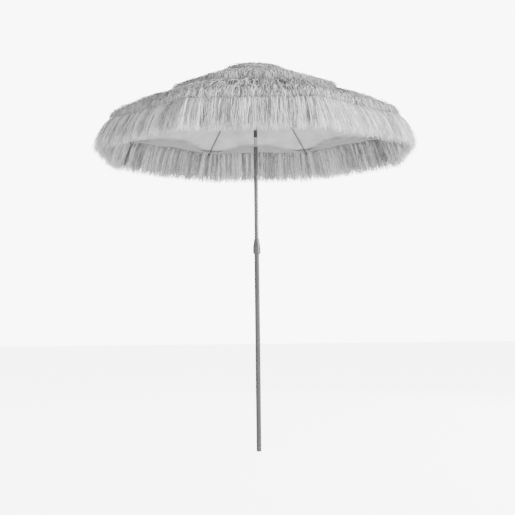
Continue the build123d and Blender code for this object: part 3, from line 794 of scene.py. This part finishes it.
@dataclass
class Fringe:
    """The raffia fringe round the rim, sewn over the hem: it bends over the rim and hangs, flared.

    drape is the fringe's outer face as (out from the rib tip, down from it), and depth how far in
    its layers reach. corner is how evenly the strands fan out over a panel, and second the share of
    them that start lower, from the hem's own under row. lean and fan are how far a strand swings out
    or aside at its tip, crinkle and waves the size and turn of its waves."""

    form: CanopyForm
    corner: float = 0.22
    drape: tuple[tuple[float, float], ...] = (
        (-0.040, -0.018), (-0.010, -0.016), (0.016, -0.010), (0.036, 0.008), (0.054, 0.036),
        (0.074, 0.080), (0.092, 0.125), (0.104, 0.160),
    )
    strands: int = 2700
    clumps: int = 104
    rings: int = 6
    cut: StrandCut = StrandCut(0.0039, (0.55, 1.3), (0.0, 0.15, 0.75, 1.0), (0.8, 1.0, 0.85, 0.3), 0.3)
    depth: float = 0.026
    second: float = 0.4
    short: float = 0.12
    lean: tuple[float, float] = (0.007, 0.008)
    fan: float = 0.009
    crinkle: float = 0.006
    waves: tuple[float, float] = (3.0, 8.0)
    keep: float = 0.13

    def build(self, number: int) -> bpy.types.Object:
        """Build the fringe on one rib's share of the rim.

        Each strand follows the drape, shifted in by its layer and cut at its own length; strands of a
        clump share a tone, a lean and a length. Out is the direction away from the pole's axis.

        Args:
            number: the rib's number.

        Returns:
            The piece, riding on the fringe's own body.
        """
        form, rng = self.form, np.random.default_rng(200 + number)
        count = self.strands
        where = rng.uniform(-0.5, 0.5, count)
        clump = np.floor((where + 0.5) * self.clumps).astype(int)
        heart = (clump + 0.5) / self.clumps - 0.5
        pull = rng.uniform(0.1, 0.8, self.clumps)[clump]
        theta = form.azimuth(number) + form.sector * where
        gathered = form.sector * (heart - where) * pull * form.tip_r
        way = np.linspace(0, 1, self.rings)
        length = rng.normal(0.97, 0.03, self.clumps)[clump] + rng.normal(0, 0.065, count)
        # a few strands are cut short
        length -= 0.3 * (rng.uniform(size=count) < self.short) * rng.uniform(size=count)
        length = np.clip(length, 0.55, 1.1)
        layer = rng.uniform(0, 1, count) ** 1.4
        begin = np.where(rng.uniform(size=count) < self.second, rng.uniform(0.12, 0.34, count),
                         rng.uniform(0.0, 0.12, count))
        path = begin[:, None] + (length - begin)[:, None] * way
        out_line, down_line = np.array(self.drape).T
        steps = np.concatenate([[0], np.cumsum(np.hypot(np.diff(out_line), np.diff(down_line)))])
        steps /= steps[-1]
        out = np.interp(path, steps, out_line)
        down = np.interp(path, steps, down_line) + np.maximum(path - 1, 0) * 0.2
        inward = self.depth * layer[:, None] * np.clip(path * 2.2, 0.3, 1)
        lean = rng.normal(0, self.lean[0], self.clumps)[clump][:, None]
        lean = lean + rng.normal(0, self.lean[1], (count, 1))
        out = out - inward + lean * way
        wave = rng.uniform(0, 2 * pi, (count, 1)) + way * rng.uniform(*self.waves, (count, 1))
        sway = np.sin(wave) * self.crinkle * rng.uniform(0.2, 1, (count, 1)) * np.clip(way * 2, 0, 1)
        sway = sway + (gathered[:, None] + rng.normal(0, self.fan, (count, 1))) * way**1.2
        out += np.cos(wave * 1.2) * self.crinkle * 0.6 * way
        rim = form.tip_r * form.spread(theta)
        root = np.stack([rim * np.cos(theta), rim * np.sin(theta)], axis=-1)[:, None]
        facing = form.facing(theta, self.corner)
        away = np.stack([np.cos(facing), np.sin(facing)], axis=-1)[:, None]
        aside = np.stack([-np.sin(facing), np.cos(facing)], axis=-1)[:, None]
        flat_line = root + out[..., None] * away + sway[..., None] * aside
        line = np.concatenate([flat_line, (form.tip_z - down)[..., None]], axis=-1)
        width = self.cut.widths(rng, way, count)
        # painted shade: strands of the inner layers, behind the outer ones, are drawn darker
        tone = rng.normal(0.47, 0.32, self.clumps)[clump] + rng.normal(0, 0.2, count) - 0.3 * layer
        # some of the outer strands are brighter
        tone += 0.35 * (rng.uniform(size=count) < 0.12) * (layer < 0.3)
        strands = Strands(line, width, np.clip(tone + 0.08, 0, 1), self.cut.sides(rng, theta))
        piece = strands.piece(f"raffia_fringe_{number}", Finish.FRINGE)
        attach(piece, f"valance_{number}")
        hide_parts(f"valance_{number}")
        form.gather(piece, number, self.keep)
        log.info("%s: %d faces", piece.name, len(piece.data.polygons))
        return piece


@dataclass
class CrownTuft:
    """The flat shaggy tuft over the crown: strands lie out from the middle and fall at their ends.

    profile is its top and bed what it lies on, the cap in the middle and the first row round it, as
    (distance from the pole's axis, height over the crown hinge)."""

    form: CanopyForm
    strands: int = 3200
    rings: int = 6
    cut: StrandCut = StrandCut(0.0044)
    profile: tuple[tuple[float, float], ...] = (
        (0.0, 0.056), (0.05, 0.046), (0.10, 0.031), (0.15, 0.017), (0.20, 0.000), (0.25, -0.024))
    bed: tuple[tuple[float, float], ...] = ((0.0, 0.0195), (0.03, 0.0195), (0.06, 0.004), (0.25, -0.055))
    root_edge: float = 0.17
    edge: float = 0.225
    reach: tuple[float, float] = (0.045, 0.11)
    loose_share: float = 0.05
    loose_rise: tuple[float, float] = (0.006, 0.024)
    fall: float = 0.034
    crinkle: float = 0.005
    waves: tuple[float, float] = (4.0, 9.0)

    def build(self) -> bpy.types.Object:
        """Build the tuft.

        Returns:
            The piece, riding on the head: each strand's height is its own share of the way from the
            bed to the profile, less its fall towards its end. A few loose strands rise instead.
        """
        rng = np.random.default_rng(7)
        count = self.strands
        theta = rng.uniform(0, 2 * pi, count)
        root = self.root_edge * np.sqrt(rng.uniform(0, 1, count))
        reach = rng.uniform(*self.reach, count)
        way = np.linspace(0, 1, self.rings)
        limit = self.edge + rng.uniform(-0.03, 0.02, (count, 1))
        radius = np.minimum(root[:, None] + reach[:, None] * way, limit)
        turn = rng.normal(0, 0.5, (count, 1)) * way * reach[:, None] / 0.06
        wave = rng.uniform(0, 2 * pi, (count, 1)) + way * rng.uniform(*self.waves, (count, 1))
        sway = np.sin(wave) * self.crinkle / np.maximum(radius, 0.03)
        bob = np.cos(wave * 1.3) * self.crinkle
        lift = rng.beta(2.5, 1.2, (count, 1))
        top = np.interp(radius, *np.array(self.profile).T)
        bed = np.interp(radius, *np.array(self.bed).T)
        height = bed + (top - bed) * lift + bob * 0.8
        loose = rng.uniform(size=(count, 1)) < self.loose_share
        height += loose * way * rng.uniform(*self.loose_rise, (count, 1))
        height -= rng.uniform(0.1, 1, (count, 1)) * self.fall * way**4
        height = np.maximum(height, bed)
        angle = theta[:, None] + turn + sway
        line = np.stack([radius * np.cos(angle), radius * np.sin(angle), self.form.hinge_z + height], -1)
        width = self.cut.widths(rng, way, count)
        tone = np.clip(rng.normal(0.45, 0.25, count), 0, 1)
        strands = Strands(line, width, tone, self.cut.sides(rng, theta))
        piece = strands.piece("raffia_crown_tuft", Finish.THATCH)
        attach(piece, "head")
        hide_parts("top_tuft")
        log.info("%s: %d faces", piece.name, len(piece.data.polygons))
        return piece


# ------------------------------------------------------------------------------------------- hardware
@dataclass
class Hardware:
    """The hard parts as they were made: each node gets one finish in all of its material slots."""

    finishes: dict[str, Finish] = field(default_factory=lambda: {
        "lower_pole": Finish.POLE_PAINT, "ground_plug": Finish.DARK_PLASTIC,
        "lock_collar": Finish.LOCK_PLASTIC, "lock_collet": Finish.DARK_PLASTIC,
        "lock_nut": Finish.LOCK_PLASTIC, "upper_pole": Finish.TUBE_ENAMEL,
        "tilt_socket": Finish.CAST_METAL, "tilt_knuckle": Finish.CAST_METAL,
        "tilt_pin": Finish.BRIGHT_STEEL, "tilt_spring": Finish.SPRING_STEEL,
        "tilt_button": Finish.BRIGHT_STEEL, "head_shaft": Finish.HEAD_PAINT,
        "crown_hub": Finish.DARK_PLASTIC, "crown_cap": Finish.DARK_PLASTIC,
        "crown_ring": Finish.BRIGHT_STEEL, "catch_spring": Finish.SPRING_STEEL,
        "runner_catch": Finish.BRIGHT_STEEL, "runner": Finish.DARK_PLASTIC,
        "runner_ring": Finish.BRIGHT_STEEL,
    })

    def dress(self) -> None:
        """Put each finish on its node; ribs and stretchers share one, and soft nodes get none."""
        for name, node in frame["nodes"].items():
            finish = self.finishes.get(name)
            if name.startswith(("rib_", "stretcher_")):
                finish = Finish.RIB_PAINT
            if finish is None:
                continue
            if not node.material_slots:
                node.data.materials.append(None)
            for slot in node.material_slots:
                slot.material = finish.material()
            log.info("%s: %s", name, finish.value.name)


# --------------------------------------------------------------------------------------------- studio
@dataclass(frozen=True)
class Lamp:
    """A square area lamp: its name, its place, its side in metres and its power in watts."""

    name: str
    at: Point
    side: float
    power: float

    def hang(self, target: Point) -> None:
        """Hang the lamp and turn it to a target.

        Args:
            target: the place that it shines at.
        """
        light = bpy.data.lights.new(self.name, "AREA")
        light.size, light.energy = self.side, self.power
        holder = bpy.data.objects.new(self.name, light)
        aim = np.array(target) - np.array(self.at)
        turn = atan2(aim[1], aim[0]) - pi / 2
        rise = pi / 2 + atan2(aim[2], hypot(aim[0], aim[1]))
        holder.matrix_world = (Matrix.Translation(self.at) @ Matrix.Rotation(turn, 4, "Z")
                               @ Matrix.Rotation(rise, 4, "X"))
        bpy.context.scene.collection.objects.link(holder)


@dataclass
class Studio:
    """Pale floor, soft light with a stronger right side, and the camera.

    surround is the light that the world gives and backdrop how bright it looks; sweep_glow and
    sweep_seen are the same for the floor."""

    floor_size: float = 60.0
    lamps: tuple[Lamp, ...] = (
        Lamp("key", (4.8, -2.0, 2.7), 2.0, 700.0), Lamp("rim", (3.8, 2.6, 1.7), 1.6, 130.0),
        Lamp("fill", (-4.2, -3.4, 2.2), 3.0, 105.0), Lamp("front", (0.4, -5.6, 0.9), 1.6, 70.0),
        Lamp("back", (1.5, 4.2, 3.4), 3.0, 120.0),
    )
    lit: Point = (0.0, 0.0, 1.7)
    camera_at: Point = (0.085, -5.603, 0.7406)
    lens: float = 66.6
    pitch: float = 3.99
    yaw: float = 0.04
    roll: float = -0.65
    surround: float = 0.58
    backdrop: float = 9.0
    sweep_glow: float = 0.75
    sweep_seen: float = 6.0

    def floor(self) -> None:
        """Lay a level pale floor."""
        half = self.floor_size / 2
        mesh = bpy.data.meshes.new("floor")
        mesh.from_pydata([(-half, -half, 0), (half, -half, 0), (half, half, 0), (-half, half, 0)], [],
                         [(0, 1, 2, 3)])
        material, shader = new_material("pale_floor", Roughness=0.9)
        shader.inputs["Base Color"].default_value = linear("f4f4f4")
        # the floor glows a little, as a lit studio sweep does, and is seen brighter than it glows
        shader.inputs["Emission Color"].default_value = linear("ffffff")
        tree = material.node_tree
        seen = add_node(tree, "ShaderNodeLightPath").outputs["Is Camera Ray"]
        glow = add_node(tree, "ShaderNodeMapRange", {"Value": seen, "To Min": self.sweep_glow,
                                                     "To Max": self.sweep_seen})
        tree.links.new(glow.outputs["Result"], shader.inputs["Emission Strength"])
        mesh.materials.append(material)
        floor = bpy.data.objects.new("floor", mesh)
        bpy.context.scene.collection.objects.link(floor)

    def light(self) -> None:
        """Hang the lamps, with the key at the right, in an even white surround."""
        for lamp in self.lamps:
            lamp.hang(self.lit)
        world = bpy.data.worlds.new("studio")
        world.use_nodes = True
        tree = world.node_tree
        background = tree.nodes["Background"]
        background.inputs["Color"].default_value = linear("ffffff")
        # the surround looks brighter than the light that it gives
        seen = add_node(tree, "ShaderNodeLightPath").outputs["Is Camera Ray"]
        strength = add_node(tree, "ShaderNodeMapRange", {"Value": seen, "To Min": self.surround,
                                                         "To Max": self.backdrop})
        tree.links.new(strength.outputs["Result"], background.inputs["Strength"])
        bpy.context.scene.world = world

    def camera(self) -> None:
        """Place the camera: it looks along +Y, turned to the pole, tipped up and rolled a little."""
        data = bpy.data.cameras.new("camera")
        data.lens = self.lens
        camera = bpy.data.objects.new("camera", data)
        yaw = atan2(self.camera_at[0], -self.camera_at[1]) - radians(self.yaw)
        camera.matrix_world = (Matrix.Translation(self.camera_at) @ Matrix.Rotation(yaw, 4, "Z")
                               @ Matrix.Rotation(pi / 2 + radians(self.pitch), 4, "X")
                               @ Matrix.Rotation(radians(self.roll), 4, "Z"))
        bpy.context.scene.collection.objects.link(camera)
        bpy.context.scene.camera = camera

    def build(self) -> None:
        """Set up the floor, the light and the camera."""
        self.floor()
        self.light()
        self.camera()


def main() -> None:
    """Build the umbrella's soft parts, dress its hard ones and set up the studio."""
    logging.basicConfig(level=logging.INFO, format="%(name)s: %(message)s")
    form = CanopyForm.from_frame()
    cloth, thatch, fringe = CanopyCloth(form), Thatch(form), Fringe(form)
    for number in range(1, form.count + 1):
        cloth.build(number)
        thatch.build(number)
        fringe.build(number)
    CrownTuft(form).build()
    Hardware().dress()
    Studio().build()


if __name__ == "__main__":
    main()
